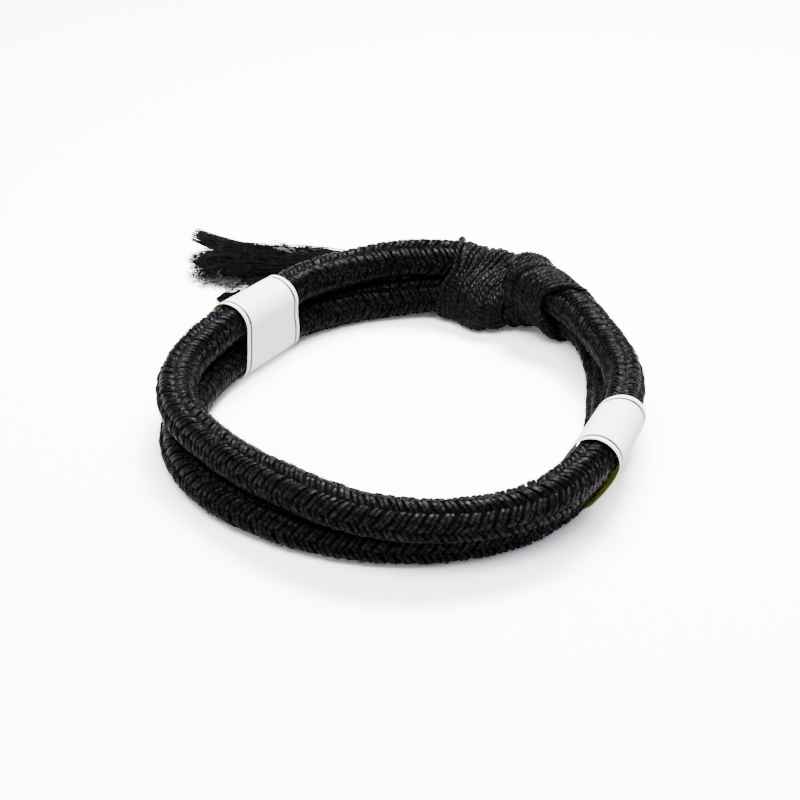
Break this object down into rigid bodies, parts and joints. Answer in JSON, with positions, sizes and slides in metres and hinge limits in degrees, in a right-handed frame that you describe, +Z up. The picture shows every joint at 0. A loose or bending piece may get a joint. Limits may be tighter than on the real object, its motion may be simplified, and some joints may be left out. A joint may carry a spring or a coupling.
{
  "type": "igal head cord",
  "caption": "Thick braided cord coiled into a ring that holds a headscarf on, with a rope binding, a loose yarn tassel and blank paper bands.",
  "frame": {"origin": "middle of the bounding box, on the surface that the ring lies on", "axes": "+Z up, -Y the front of the ring as the picture shows it, with the tassel at the back on the -X side"},
  "size_m": [0.1938, 0.2748, 0.0383],
  "materials": {
    "black_braid": "soft sheen",
    "black_rope": "soft sheen",
    "black_yarn": "matte",
    "ivory_paper": "smooth"
  },
  "bodies": {
    "root": {"head_cord": "black_braid", "binding": "black_rope", "binding_tail": "black_rope", "tassel": "black_yarn", "band_left": "ivory_paper", "band_right": "ivory_paper"}
  },
  "joints": []
}
